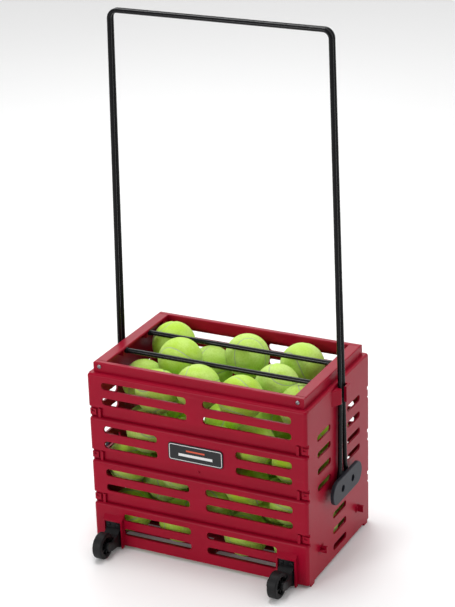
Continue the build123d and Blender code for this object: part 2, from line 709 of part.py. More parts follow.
def ball_places():
    """The top balls, then balls dropped one by one to the best of many random spots."""
    draw = random.Random(FILL_SEED)
    placed = [tuple(map(float, place)) for place in TOP_BALLS]
    spacing = 2 * BALL_RADIUS + BALL_GAP
    reach_x = SIDE_INNER - BALL_RADIUS - PIN_HEAD[1] - BALL_GAP
    reach_y = -INNER_Y - BALL_RADIUS - BALL_GAP

    def draw_within(reach):
        past = reach * FILL_OVERSHOOT
        return max(-reach, min(reach, draw.uniform(-past, past)))

    while True:
        spots = [(draw_within(reach_x), draw_within(reach_y)) for _ in range(FILL_TRIES)]
        tries = [(x, y, lowest_free(x, y, placed, spacing)) for x, y in spots]
        best = min(tries, key=lean_height)
        if best[2] > SHELL_TOP - FILL_DROP:
            return placed
        placed.append(best)


def ball(place):
    return Pos(*place) * Sphere(BALL_RADIUS)


def ball_layers():
    """The balls in four groups, by height."""
    layers = {"balls_bottom": [], "balls_lower": [], "balls_upper": [], "balls_top": []}
    names = list(layers)
    for place in sorted(ball_places(), key=lambda place: place[2]):
        level = min(int(place[2] // (SHELL_TOP / len(names))), len(names) - 1)
        layers[names[level]].append(ball(place))
    return layers


# ---- all pieces ---------------------------------------------------------------------------
def write_pair(name, right):
    """The right piece and its mirror image."""
    write(f"right_{name}", right)
    write(f"left_{name}", left_of(right))


def main():
    os.makedirs("parts", exist_ok=True)
    write("front_panel", front_panel())
    write("rear_panel", rear_panel())
    write_pair("side_panel", side_panel())
    write("floor_panel", floor_panel())
    write("corner_feet", group(all_corners(foot())))
    x, z = foot_screw_place()
    foot_screw = screw_y(x, CHANNEL_Y + SEAM, z, FOOT_SCREW_HEAD)
    write("foot_screws", group(all_corners(foot_screw)))
    write("label_plate", label_plate())

    rail = end_rail()
    write("front_top_rail", rail)
    write("rear_top_rail", rear_of(rail))
    write("rim_screws", group(all_corners(screw_y(RIM_SCREW_X, RIM_Y, rim_screw_z()))))
    write_pair("top_rail", side_rail())
    write_pair("bar_retainer", bar_retainer())
    for name, y in (("front", -BAR_Y), ("rear", BAR_Y)):
        write(f"{name}_bar", roller_bar(y))
        bush = bar_bush(y)
        write(f"{name}_bar_bushes", group([bush, left_of(bush)]))

    bail = front_bail()
    write("front_bail", bail)
    write("rear_bail", rear_of(bail))
    write_pair("pivot_bracket", pivot_bracket())
    pins = [pivot_pin(y) for y in (-PIVOT_Y, PIVOT_Y)]
    write_pair("pivot_pins", group(pins))
    write_pair("bracket_screws", group([bracket_screw(z) for z in bracket_screw_heights()]))
    write_pair("wire_clip", wire_clip())
    write_pair("lock_pegs", group([lock_peg(-PEG_Y), lock_peg(PEG_Y)]))

    write_pair("wheel_fork", wheel_fork())
    write_pair("tyre", tyre())
    write_pair("wheel_hub", wheel_hub())
    write_pair("axle", axle())
    screws = [screw_y(WHEEL_X + step, BAND_Y - FORK_WALL, FORK_SCREW_Z)
              for step in (-FORK_SCREW_HALF, FORK_SCREW_HALF)]
    write_pair("fork_screws", group(screws))
    for name, balls in ball_layers().items():
        write(name, group(balls))


main()
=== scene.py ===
import math

import bmesh
import bpy
from bpy.props import FloatProperty, FloatVectorProperty, IntProperty, PointerProperty
from mathutils import Matrix, Vector


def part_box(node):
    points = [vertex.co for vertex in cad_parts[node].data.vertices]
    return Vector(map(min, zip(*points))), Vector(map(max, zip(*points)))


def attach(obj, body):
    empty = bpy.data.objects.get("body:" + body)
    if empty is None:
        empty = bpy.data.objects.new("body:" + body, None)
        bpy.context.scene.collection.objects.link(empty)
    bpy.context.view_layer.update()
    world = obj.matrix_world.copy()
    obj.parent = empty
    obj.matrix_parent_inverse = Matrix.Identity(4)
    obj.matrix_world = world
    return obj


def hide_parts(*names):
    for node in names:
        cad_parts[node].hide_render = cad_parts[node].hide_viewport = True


bl_info = {
    "name": "Tennis ball hopper",
    "version": (1, 0, 0),
    "blender": (4, 5, 0),
    "location": "3D View > Sidebar > Hopper",
    "description": "Finishes a wheeled tennis ball hopper around its fixed frame",
    "category": "Object",
}

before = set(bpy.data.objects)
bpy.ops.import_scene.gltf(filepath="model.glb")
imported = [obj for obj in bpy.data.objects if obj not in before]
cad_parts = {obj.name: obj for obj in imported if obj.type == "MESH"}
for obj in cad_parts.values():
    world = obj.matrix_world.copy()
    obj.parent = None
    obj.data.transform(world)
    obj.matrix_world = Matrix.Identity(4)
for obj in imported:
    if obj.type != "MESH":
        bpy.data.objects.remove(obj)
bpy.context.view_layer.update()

WELD = 1e-5                # vertices closer than this are one
SIDES = {"left": -1, "right": 1}
BALL_NODES = ("balls_bottom", "balls_lower", "balls_upper", "balls_top")
SEAM_CUBIC = 1.0 / (3.0 * math.sqrt(3.0))      # a ball's seam is where x y = SEAM_CUBIC z cubed
SEAM_SLOPE_FLOOR = 1e-4    # keeps the seam's slope from vanishing
MOULDED_EDGE = 0.0004      # rounding of a clip's or a peg's edges
RAMP_FOOT = 0.001          # how far a clip's ramp laps over its pad
RAMP_CREST_SHARE = 0.3     # where the ramp's flat top starts, over the stem's thickness
PEG_RAMP_SHARE = 0.9       # a peg's ramp climbs to this share of its lip
BALL_SUBDIVISIONS = 5
FLOOR_HALF = 30.0          # half the width of the studio floor
LIGHT_AIM = Vector((0.0, 0.0, 0.2))
LIGHTS = {                 # each round soft box's place and width
    "top": ((-0.2, 0.1, 2.5), 0.8),
    "front": ((-0.9, -2.4, 1.0), 0.9),
    "back": ((-1.1, 1.9, 1.9), 1.2),
}


# ---- shader building ----------------------------------------------------------------------
class Socket:
    """A shader output whose sums, products and powers add Math nodes."""

    def __init__(self, shader, output):
        self.shader = shader
        self.output = output

    def maths(self, operation, *terms):
        return self.shader.node("ShaderNodeMath", {"operation": operation}, dict(enumerate(terms)))

    def __add__(self, other):
        return self.maths("ADD", self, other)

    def __radd__(self, other):
        return self.maths("ADD", other, self)

    def __sub__(self, other):
        return self.maths("SUBTRACT", self, other)

    def __rsub__(self, other):
        return self.maths("SUBTRACT", other, self)

    def __mul__(self, other):
        return self.maths("MULTIPLY", self, other)

    def __rmul__(self, other):
        return self.maths("MULTIPLY", other, self)

    def __truediv__(self, other):
        return self.maths("DIVIDE", self, other)

    def __rtruediv__(self, other):
        return self.maths("DIVIDE", other, self)

    def __pow__(self, other):
        return self.maths("POWER", self, other)

    def __lt__(self, other):
        return self.maths("LESS_THAN", self, other)

    def __abs__(self):
        return self.maths("ABSOLUTE", self)

    def at_least(self, floor):
        return self.maths("MAXIMUM", self, floor)

    def fade(self, start, end):
        """0 below start, 1 past end, smooth between."""
        settings = {"interpolation_type": "SMOOTHSTEP"}
        return self.shader.node("ShaderNodeMapRange", settings, {0: self, 1: start, 2: end})


class Shader:
    """A material under construction, or the world's surroundings."""

    def __init__(self, name, kind=bpy.data.materials):
        self.material = kind.new(name)
        self.material.use_nodes = True
        self.tree = self.material.node_tree
        self.tree.nodes.clear()

    def node(self, kind, settings=None, inputs=None, output=0):
        """Adds a node with its settings, then its socket values or links."""
        made = self.tree.nodes.new(kind)
        for key, value in (settings or {}).items():
            setattr(made, key, value)
        for key, value in (inputs or {}).items():
            if isinstance(value, Socket):
                self.tree.links.new(value.output, made.inputs[key])
            else:
                made.inputs[key].default_value = value
        return Socket(self, made.outputs[output]) if made.outputs else None

    def place(self):
        return self.node("ShaderNodeTexCoord", output="Object")

    def stretched(self, scale):
        """Object coordinates multiplied by a different number on each axis."""
        return self.node("ShaderNodeMapping", inputs={"Vector": self.place(), "Scale": scale})

    def axes(self, vector):
        """The x, y and z of a vector, as three values."""
        split = self.node("ShaderNodeSeparateXYZ", inputs={0: vector}).output.node
        return [Socket(self, split.outputs[i]) for i in range(3)]

    def noise(self, scale, detail=2.0, where=None, roughness=0.5):
        values = {"Vector": where or self.place(), "Scale": scale, "Detail": detail,
                  "Roughness": roughness}
        return self.node("ShaderNodeTexNoise", inputs=values)

    def mix(self, amount, first, second):
        """A colour between two colours."""
        values = {0: amount, 6: first, 7: second}
        return self.node("ShaderNodeMix", {"data_type": "RGBA"}, values, output=2)

    def bump(self, height, strength, depth, under=None):
        values = {"Height": height, "Strength": strength, "Distance": depth}
        if under:
            values["Normal"] = under
        return self.node("ShaderNodeBump", inputs=values)

    def finish(self, **values):
        """Ends in a Principled surface; underscores in names stand for spaces."""
        inputs = {key.replace("_", " "): value for key, value in values.items()}
        surface = self.node("ShaderNodeBsdfPrincipled", inputs=inputs)
        self.node("ShaderNodeOutputMaterial", inputs={"Surface": surface})
        return self.material


def rgba(colour, gain=1.0):
    """A colour with its brightness scaled, as a socket takes it."""
    return (*(min(part * gain, 1.0) for part in colour), 1.0)


# ---- finishes -----------------------------------------------------------------------------
def crimson_plastic(settings):
    """Injection-moulded shell plastic with a fine spark-eroded grain and faint scuffs."""
    s = Shader("crimson_plastic")
    cloud = s.noise(9.0, 3.0)
    mottle = s.noise(55.0, 4.0, None, 0.6)
    grain = s.noise(2600.0, 2.0)
    streak = s.noise(60.0, 4.0, s.stretched((0.25, 0.25, 3.0)), 0.65)
    scuff = streak.fade(0.62, 0.76) * settings.shell_wear
    tone = s.mix(cloud.fade(0.3, 0.7) * 0.6 + mottle * 0.4, rgba(settings.shell_colour, 0.9),
                 rgba(settings.shell_colour, 1.1))
    colour = s.mix(scuff * 0.3, tone, rgba(settings.shell_scuff))
    roughness = settings.shell_roughness + grain * 0.05 + mottle * 0.06 + scuff * 0.2
    fine = s.bump(grain, 0.3, 0.00006)
    wavy = s.bump(s.noise(38.0, 1.0), 0.2, 0.0004, fine)
    return s.finish(Base_Color=colour, Roughness=roughness, Normal=wavy,
                    Specular_IOR_Level=settings.shell_gloss)


def black_plastic(settings):
    """Satin black moulded plastic with a faint grain."""
    s = Shader("black_plastic")
    cloud = s.noise(70.0, 3.0)
    grain = s.noise(3200.0, 2.0)
    colour = s.mix(cloud, rgba(settings.black_colour, 0.7), rgba(settings.black_colour, 1.4))
    return s.finish(Base_Color=colour, Roughness=0.3 + cloud * 0.12,
                    Normal=s.bump(grain, 0.25, 0.00005), Specular_IOR_Level=0.2)


def bar_plastic(settings):
    """Extruded black tube, with fine draw lines along its length."""
    s = Shader("bar_plastic")
    lines = s.noise(900.0, 2.0, s.stretched((0.02, 1.0, 1.0)))
    wear = s.noise(45.0, 4.0)
    colour = s.mix(wear.fade(0.45, 0.75), rgba(settings.black_colour, 0.6),
                   rgba(settings.black_colour, 1.6))
    return s.finish(Base_Color=colour, Roughness=0.14 + lines * 0.08,
                    Normal=s.bump(lines, 0.25, 0.00006), Specular_IOR_Level=0.22)


def gloss_wire(settings):
    """Black powder coat over steel wire, with its orange-peel waviness."""
    s = Shader("gloss_wire")
    peel = s.noise(650.0, 1.0)
    speck = s.noise(140.0, 4.0).fade(0.55, 0.8)
    colour = s.mix(speck, rgba(settings.wire_colour), rgba(settings.wire_colour, 2.0))
    return s.finish(Base_Color=colour, Roughness=0.16 + peel * 0.08,
                    Normal=s.bump(peel, 0.3, 0.0001), Specular_IOR_Level=0.16)


def slate_nylon(settings):
    """Grey-black glass-filled nylon with a cloudy, grainy face."""
    s = Shader("slate_nylon")
    cloud = s.noise(160.0, 5.0, None, 0.6)
    grain = s.noise(2400.0, 2.0)
    colour = s.mix(cloud.fade(0.35, 0.7), rgba(settings.slate_colour, 0.8),
                   rgba(settings.slate_colour, 1.25))
    return s.finish(Base_Color=colour, Roughness=0.42 + cloud * 0.12,
                    Normal=s.bump(grain, 0.3, 0.00008), Specular_IOR_Level=0.2)


def zinc_plate(settings):
    """Dull zinc with faint turning marks."""
    s = Shader("zinc_plate")
    haze = s.noise(1400.0, 3.0)
    patch = s.noise(420.0, 2.0)
    colour = s.mix(patch, rgba(settings.zinc_colour, 0.7), rgba(settings.zinc_colour, 1.15))
    return s.finish(Base_Color=colour, Metallic=1.0, Roughness=0.22 + haze * 0.18,
                    Normal=s.bump(haze, 0.15, 0.00003))


def blackened_steel(settings):
    """Turned steel with a black oxide skin, rubbed in places."""
    s = Shader("blackened_steel")
    turned = s.noise(900.0, 3.0, s.stretched((6.0, 1.0, 1.0)))
    rubbed = s.noise(260.0, 4.0).fade(0.6, 0.8)
    colour = s.mix(rubbed, rgba(settings.oxide_colour), rgba(settings.oxide_colour, 2.5))
    return s.finish(Base_Color=colour, Metallic=0.6, Roughness=0.34 + turned * 0.2,
                    Normal=s.bump(turned, 0.2, 0.00004), Specular_IOR_Level=0.35)


def tyre_rubber(settings):
    """Dark rubber, dusty on the tread, with fine moulding rings."""
    s = Shader("tyre_rubber")
    dust = s.noise(240.0, 5.0, None, 0.65)
    rings = s.noise(1500.0, 1.0, s.stretched((1.0, 0.02, 0.02)))
    colour = s.mix(dust.fade(0.5, 0.85), rgba(settings.black_colour, 0.9),
                   rgba(settings.black_colour, 2.4))
    grain = s.bump(s.noise(2200.0, 2.0), 0.3, 0.00008)
    return s.finish(Base_Color=colour, Roughness=0.42 + dust * 0.2,
                    Normal=s.bump(rings, 0.25, 0.0001, grain), Specular_IOR_Level=0.22)


def seam_distance(s, direction):
    """How far a point of a ball lies from the seam, in radians."""
    x, y, z = s.axes(direction)
    value = x * y - z * z * z * SEAM_CUBIC
    slope_z = z * z * (-3.0 * SEAM_CUBIC)
    along = x * y * 2.0 + z * slope_z
    steep = x * x + y * y + slope_z * slope_z - along * along
    return abs(value) / (steep + SEAM_SLOPE_FLOOR) ** 0.5


def ball_felt(settings):
    """Brushed yellow-green felt in two panels, joined by a pale seam."""
    s = Shader("ball_felt")
    raw = s.node("ShaderNodeAttribute", {"attribute_name": "ball_direction"}, output="Vector")
    direction = s.node("ShaderNodeVectorMath", {"operation": "NORMALIZE"}, {0: raw})
    shade = s.node("ShaderNodeAttribute", {"attribute_name": "ball_shade"}, output="Fac")
    wool = s.noise(420.0, 5.0, None, 0.7)
    fibres = s.noise(1500.0, 3.0, None, 0.7)
    worn = s.noise(48.0, 3.0)
    ragged = seam_distance(s, direction) + (wool - 0.5) * settings.seam_half * 0.9
    seam = 1.0 - ragged.fade(settings.seam_half * 0.6, settings.seam_half * 1.3)
    nap = s.mix(shade * 0.6 + worn.fade(0.35, 0.7) * 0.4, rgba(settings.felt_colour),
                rgba(settings.felt_pale))
    # Painted shade: the felt is darkened in wool-noise patches, standing in for shade between the
    # tufts.
    shaded = s.mix(wool.fade(0.35, 0.75) * 0.5, nap, rgba(settings.felt_crevice_shade))
    tufted = s.mix(fibres.fade(0.5, 0.8) * 0.3, shaded, rgba(settings.felt_tip))
    colour = s.mix(seam * 0.85, tufted, rgba(settings.seam_colour))
    fuzz = s.bump(wool + fibres * 0.5, 0.7, 0.0010)
    return s.finish(Base_Color=colour, Roughness=0.92 - seam * 0.25, Normal=fuzz,
                    Sheen_Weight=0.5, Sheen_Roughness=0.5,
                    Sheen_Tint=rgba(settings.felt_tip), Specular_IOR_Level=0.1)


def label_print(settings):
    """Charcoal plate printed with a thin border and two plain level bars."""
    s = Shader("label_print")
    low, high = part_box("label_plate")
    middle = (low + high) / 2
    half_x = (high.x - low.x) / 2
    half_z = (high.z - low.z) / 2
    inset = 0.0021          # border line's middle, in from the plate's edge
    line = 0.0005           # half the border line's width
    corner = 0.003
    long_x, long_z, long_drop = half_x * 0.62, half_z * 0.15, half_z * 0.22
    short_x, short_z, short_rise = half_x * 0.34, half_z * 0.09, half_z * 0.3
    x, _, z = s.axes(s.place())
    across = abs(x - middle.x)
    up = z - middle.z
    over_x = (across - (half_x - inset - corner)).at_least(0.0)
    over_z = (abs(up) - (half_z - inset - corner)).at_least(0.0)
    edge = (over_x * over_x + over_z * over_z) ** 0.5
    border = abs(edge - corner) < line
    long_bar = (across < long_x) * (abs(up + long_drop) < long_z)
    short_bar = (across < short_x) * (abs(up - short_rise) < short_z)
    speckle = s.noise(900.0, 3.0)
    worn = 1.0 - speckle.fade(0.62, 0.75) * 0.4
    printed = s.mix(border + long_bar, rgba(settings.label_colour), rgba(settings.label_ink))
    colour = s.mix(short_bar * worn, printed, rgba(settings.label_accent))
    return s.finish(Base_Color=colour, Roughness=0.3 + speckle * 0.12,
                    Normal=s.bump(speckle, 0.12, 0.00004), Specular_IOR_Level=0.35)


def studio_floor(settings):
    """Matt pale floor that glows very faintly, which softens shadows."""
    s = Shader("studio_floor")
    tone = s.mix(s.noise(3.0, 2.0), rgba(settings.floor_colour, 0.99), rgba(settings.floor_colour))
    return s.finish(Base_Color=tone, Roughness=0.7, Emission_Color=rgba(settings.floor_colour),
                    Emission_Strength=settings.floor_glow)


FINISHES = {}


def finish_named(maker):
    """Each finish is made once and shared."""
    name = maker.__name__
    if name not in FINISHES:
        FINISHES[name] = maker(bpy.context.scene.hopper_finish)
    return FINISHES[name]


CAD_FINISHES = {
    crimson_plastic: (
        "front_panel", "rear_panel", "left_side_panel", "right_side_panel", "floor_panel",
        "corner_feet", "front_top_rail", "rear_top_rail", "left_top_rail", "right_top_rail",
        "left_bar_retainer", "right_bar_retainer", "left_wire_clip", "right_wire_clip",
        "left_lock_pegs", "right_lock_pegs"),
    black_plastic: (
        "left_wheel_fork", "right_wheel_fork", "left_wheel_hub", "right_wheel_hub",
        "front_bar_bushes", "rear_bar_bushes"),
    bar_plastic: ("front_bar", "rear_bar"),
    gloss_wire: ("front_bail", "rear_bail"),
    slate_nylon: ("left_pivot_bracket", "right_pivot_bracket"),
    zinc_plate: ("rim_screws", "foot_screws"),
    blackened_steel: (
        "left_fork_screws", "right_fork_screws", "left_pivot_pins", "right_pivot_pins",
        "left_axle", "right_axle", "left_bracket_screws", "right_bracket_screws"),
    tyre_rubber: ("left_tyre", "right_tyre"),
    ball_felt: BALL_NODES,
    label_print: ("label_plate",),
}


# ---- mesh helpers -------------------------------------------------------------------------
def object_from(shape, name, finish, smooth=True):
    """Turns a bmesh into an object at the origin."""
    bmesh.ops.recalc_face_normals(shape, faces=shape.faces)
    for face in shape.faces:
        face.smooth = smooth
    mesh = bpy.data.meshes.new(name)
    shape.to_mesh(mesh)
    shape.free()
    made = bpy.data.objects.new(name, mesh)
    bpy.context.scene.collection.objects.link(made)
    mesh.materials.append(finish)
    return made


def evaluated_mesh(piece):
    """The piece's mesh with its modifiers applied."""
    bpy.context.view_layer.update()
    graph = bpy.context.evaluated_depsgraph_get()
    return bpy.data.meshes.new_from_object(piece.evaluated_get(graph), depsgraph=graph)


def apply_modifiers(piece):
    """Replaces the piece's mesh by its evaluated one and drops the modifiers."""
    mesh = evaluated_mesh(piece)
    piece.modifiers.clear()
    piece.data = mesh
    return piece


def solids_of(node):
    """The (lowest, highest) corners of each separate solid in a CAD node."""
    work = bmesh.new()
    work.from_mesh(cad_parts[node].data)
    bmesh.ops.remove_doubles(work, verts=work.verts, dist=WELD)
    seen = set()
    boxes = []
    for start in work.verts:
        if start in seen:
            continue
        seen.add(start)
        waiting = [start]
        low = start.co.copy()
        high = start.co.copy()
        while waiting:
            vertex = waiting.pop()
            low = Vector(map(min, low, vertex.co))
            high = Vector(map(max, high, vertex.co))
            for edge in vertex.link_edges:
                other = edge.other_vert(vertex)
                if other not in seen:
                    seen.add(other)
                    waiting.append(other)
        boxes.append((low, high))
    work.free()
    return boxes


class NodeTree:
    """A Geometry Nodes tree under construction, with named inputs."""

    def __init__(self, name):
        self.tree = bpy.data.node_groups.new(name, "GeometryNodeTree")
        self.inputs = {}
        self.tree.interface.new_socket("Geometry", in_out="INPUT", socket_type="NodeSocketGeometry")
        self.tree.interface.new_socket("Geometry", in_out="OUTPUT", socket_type="NodeSocketGeometry")
        self.entry = self.tree.nodes.new("NodeGroupInput")

    def add_input(self, name, kind, value):
        """A named input with its value; gives the socket to link from."""
        socket = self.tree.interface.new_socket(name, in_out="INPUT", socket_type=kind)
        self.inputs[socket.identifier] = value
        return self.entry.outputs[socket.identifier]

    def node(self, kind, settings=None, inputs=None):
        """Adds a node with its settings, then its socket values or links."""
        made = self.tree.nodes.new(kind)
        for key, value in (settings or {}).items():
            setattr(made, key, value)
        for key, value in (inputs or {}).items():
            if isinstance(value, bpy.types.NodeSocket):
                self.tree.links.new(value, made.inputs[key])
            else:
                made.inputs[key].default_value = value
        return made

    def run(self, points, name, finish):
        """Applies the tree to a cloud of points and gives a plain mesh object."""
        exit_node = self.tree.nodes.new("NodeGroupOutput")
        self.tree.links.new(self.result, exit_node.inputs[0])
        modifier = points.modifiers.new(name, "NODES")
        modifier.node_group = self.tree
        for identifier, value in self.inputs.items():
            modifier[identifier] = value
        mesh = evaluated_mesh(points)
        mesh.name = name
        made = bpy.data.objects.new(name, mesh)
        bpy.context.scene.collection.objects.link(made)
        bpy.data.objects.remove(points)
        mesh.materials.clear()
        mesh.materials.append(finish)
        return made


def point_cloud(places, directions=None):
    """A mesh of bare vertices, each with the direction that it faces."""
    mesh = bpy.data.meshes.new("places")
    mesh.from_pydata([tuple(place) for place in places], [], [])
    if directions:
        facing = mesh.attributes.new("facing", "FLOAT_VECTOR", "POINT")
        for item, direction in zip(facing.data, directions):
            item.vector = direction
    made = bpy.data.objects.new("places", mesh)
    bpy.context.scene.collection.objects.link(made)
    return made


# ---- balls --------------------------------------------------------------------------------
def seam_angle(direction):
    """The same distance as the felt's shader works out, for one point."""
    x, y, z = direction
    value = x * y - SEAM_CUBIC * z ** 3
    slope = Vector((y, x, -3.0 * SEAM_CUBIC * z * z))
    along = slope.dot(direction)
    return abs(value) / math.sqrt(max(slope.length_squared - along * along, SEAM_SLOPE_FLOOR))


def one_ball(settings, finish):
    """A felt ball about the origin, with a valley along its seam."""
    ball = bmesh.new()
    bmesh.ops.create_icosphere(ball, subdivisions=BALL_SUBDIVISIONS, radius=1.0)
    valley = settings.seam_valley / settings.ball_radius
    for vertex in ball.verts:
        near = 1.0 - min(seam_angle(vertex.co.normalized()) / valley, 1.0)
        dip = settings.seam_depth * near * near * (3.0 - 2.0 * near)
        vertex.co *= settings.ball_radius - dip
    made = object_from(ball, "one_ball", finish)
    direction = made.data.attributes.new("ball_direction", "FLOAT_VECTOR", "POINT")
    for item, vertex in zip(direction.data, made.data.vertices):
        item.vector = vertex.co.normalized()
    return made


def ball_tree(ball, finish, seed):
    """Instances the ball on each place, turned and tinted at random."""
    nodes = NodeTree("ball_heap")
    source = nodes.add_input("Ball", "NodeSocketObject", ball)
    chosen = nodes.add_input("Seed", "NodeSocketInt", seed)
    turned = nodes.node("FunctionNodeRandomValue", {"data_type": "FLOAT_VECTOR"},
                        {1: (math.tau, math.tau, math.tau), "Seed": chosen})
    tinted = nodes.node("FunctionNodeRandomValue", {"data_type": "FLOAT"}, {"Seed": chosen})
    info = nodes.node("GeometryNodeObjectInfo", inputs={"Object": source})
    spread = nodes.node("GeometryNodeInstanceOnPoints", inputs={
        "Points": nodes.entry.outputs[0], "Instance": info.outputs["Geometry"],
        "Rotation": turned.outputs[0]})
    marked = nodes.node(
        "GeometryNodeStoreNamedAttribute", {"data_type": "FLOAT", "domain": "INSTANCE"},
        {"Geometry": spread.outputs[0], "Name": "ball_shade", "Value": tinted.outputs[1]})
    real = nodes.node("GeometryNodeRealizeInstances", inputs={"Geometry": marked.outputs[0]})
    covered = nodes.node("GeometryNodeSetMaterial",
                         inputs={"Geometry": real.outputs[0], "Material": finish})
    nodes.result = covered.outputs[0]
    return nodes


# ---- screws -------------------------------------------------------------------------------
SCREW_ROWS = {
    "rim_screws": (zinc_plate, "zinc_screws"),
    "foot_screws": (zinc_plate, "zinc_screws"),
    "left_fork_screws": (blackened_steel, "steel_pins"),
    "right_fork_screws": (blackened_steel, "steel_pins"),
}


def screw_head(settings, finish):
    """A pan head of radius 1 and height 1 above its seat, with a cross recess."""
    head = bmesh.new()
    profile = ((0.0, 1.0), (0.35, 0.98), (0.62, 0.9), (0.84, 0.7), (0.96, 0.42), (1.0, 0.16),
               (0.97, 0.0), (0.0, 0.0))
    points = [head.verts.new((radius, 0.0, height)) for radius, height in profile]
    edges = [head.edges.new(pair) for pair in zip(points, points[1:])]
    bmesh.ops.spin(head, geom=points + edges, cent=(0, 0, 0), axis=(0, 0, 1), angle=math.tau,
                   steps=settings.screw_facets, use_duplicate=False)
    bmesh.ops.remove_doubles(head, verts=head.verts, dist=1e-4)
    made = object_from(head, "screw_head", finish)
    cross = bmesh.new()
    blade_size = (1.2, 0.3, 1.2)
    blade_lift = (0, 0, 0.85)       # the recess then goes three quarters of the way down
    for turn in (0.0, math.pi / 2):
        blade = bmesh.ops.create_cube(cross, size=1.0)["verts"]
        bmesh.ops.scale(cross, vec=blade_size, verts=blade)
        bmesh.ops.translate(cross, vec=blade_lift, verts=blade)
        bmesh.ops.rotate(cross, cent=(0, 0, 0), matrix=Matrix.Rotation(turn, 3, "Z"), verts=blade)
    cutter = object_from(cross, "screw_cross", finish, smooth=False)
    cut = made.modifiers.new("recess", "BOOLEAN")
    cut.operation = "DIFFERENCE"
    cut.solver = "EXACT"
    cut.use_self = True
    cut.object = cutter
    apply_modifiers(made)
    bpy.data.objects.remove(cutter)
    return made


def screw_tree(head, radius, height, finish):
    """Puts a sized head on each place, turned to face outwards."""
    nodes = NodeTree("screw_row")
    source = nodes.add_input("Head", "NodeSocketObject", head)
    wide = nodes.add_input("Head radius", "NodeSocketFloat", radius)
    tall = nodes.add_input("Head height", "NodeSocketFloat", height)
    size = nodes.node("ShaderNodeCombineXYZ", inputs={0: wide, 1: wide, 2: tall})
    facing = nodes.node("GeometryNodeInputNamedAttribute", {"data_type": "FLOAT_VECTOR"},
                        {"Name": "facing"})
    aimed = nodes.node("FunctionNodeAlignRotationToVector", {"axis": "Z"},
                       {"Vector": facing.outputs[0]})
    info = nodes.node("GeometryNodeObjectInfo", inputs={"Object": source})
    spread = nodes.node("GeometryNodeInstanceOnPoints", inputs={
        "Points": nodes.entry.outputs[0], "Instance": info.outputs["Geometry"],
        "Rotation": aimed.outputs[0], "Scale": size.outputs[0]})
    real = nodes.node("GeometryNodeRealizeInstances", inputs={"Geometry": spread.outputs[0]})
    covered = nodes.node("GeometryNodeSetMaterial",
                         inputs={"Geometry": real.outputs[0], "Material": finish})
    nodes.result = covered.outputs[0]
    return nodes


# ---- clips and pegs -----------------------------------------------------------------------
def prism(outline, low, high, lift):
    """A bmesh prism from a flat outline; lift places a (u, v, w) point in space."""
    shape = bmesh.new()
    rings = [[shape.verts.new(lift(u, v, w)) for u, v in outline] for w in (low, high)]
    for ring in rings:
        shape.faces.new(ring)
    count = len(outline)
    for i in range(count):
        j = (i + 1) % count
        shape.faces.new((rings[0][i], rings[0][j], rings[1][j], rings[1][i]))
    return shape


def softened(piece, width):
    """Rounds the piece's sharp edges."""
    bevel = piece.modifiers.new("soft edges", "BEVEL")
    bevel.width = width
    bevel.segments = 3
    bevel.limit_method = "ANGLE"
    bevel.harden_normals = True
    return apply_modifiers(piece)


def joined(pieces, name):
    """One object from several that share a finish."""
    work = bmesh.new()
    for piece in pieces:
        work.from_mesh(piece.data)
        bpy.data.objects.remove(piece)
    return object_from(work, name, finish_named(crimson_plastic))


def clip_piece(settings, node, side):
    """A ramp in front of the two wires, and a hook that holds the rear one."""
    low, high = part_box(node)
    wall = high.x if side < 0 else low.x
    pad = high.x - low.x
    half = (high.y - low.y) / 2
    reach = settings.clip_reach
    tip = reach - settings.hook_depth
    edge = half - settings.clip_wall
    crest = -half + settings.clip_wall * RAMP_CREST_SHARE
    ramp = ((0.0, -half - settings.clip_ramp), (tip, crest), (tip, -edge),
            (pad, -edge + RAMP_FOOT), (0.0, -edge + RAMP_FOOT))
    backing = ((0.0, -edge), (pad, -edge), (pad, edge), (0.0, edge))
    hook = ((0.0, edge), (tip, edge), (tip, half - settings.hook_length),
            (reach, half - settings.hook_length), (reach, half), (0.0, half))
    parts = []
    for outline in (ramp, backing, hook):
        shape = prism(outline, low.z, high.z, lambda u, v, w: (wall + side * u, v, w))
        part = object_from(shape, "clip_part", finish_named(crimson_plastic))
        parts.append(softened(part, MOULDED_EDGE))
    return joined(parts, "snap_" + node)


def peg_piece(settings, node, side):
    """For each leg a pad that it lies on, a lip that it snaps behind, and a ramp up to the lip."""
    parts = []
    for low, high in solids_of(node):
        wall = high.x if side < 0 else low.x
        pad = high.x - low.x
        outer, inner = (low.y, high.y) if low.y < 0 else (high.y, low.y)
        away = math.copysign(1.0, outer)
        face = outer - away * settings.peg_lip
        tall = settings.peg_reach
        middle = (low.z + high.z) / 2
        rib = settings.ramp_wall / 2
        seat = ((0.0, inner), (pad, inner), (pad, face), (0.0, face))
        lip = ((0.0, face), (tall, face), (tall, outer), (0.0, outer))
        ramp = ((0.0, outer), (tall * PEG_RAMP_SHARE, outer),
                (0.0, outer + away * settings.ramp_run))
        for outline, bottom, top in ((seat, low.z, high.z), (lip, low.z, high.z),
                                     (ramp, middle - rib, middle + rib)):
            shape = prism(outline, bottom, top, lambda u, v, w: (wall + side * u, v, w))
            part = object_from(shape, "peg_part", finish_named(crimson_plastic))
            parts.append(softened(part, MOULDED_EDGE))
    return joined(parts, "ramped_" + node)


# ---- user settings ------------------------------------------------------------------------
def colour_property(name, text, value):
    return FloatVectorProperty(name=name, description=text, subtype="COLOR", size=3, min=0.0,
                               max=1.0, default=value)


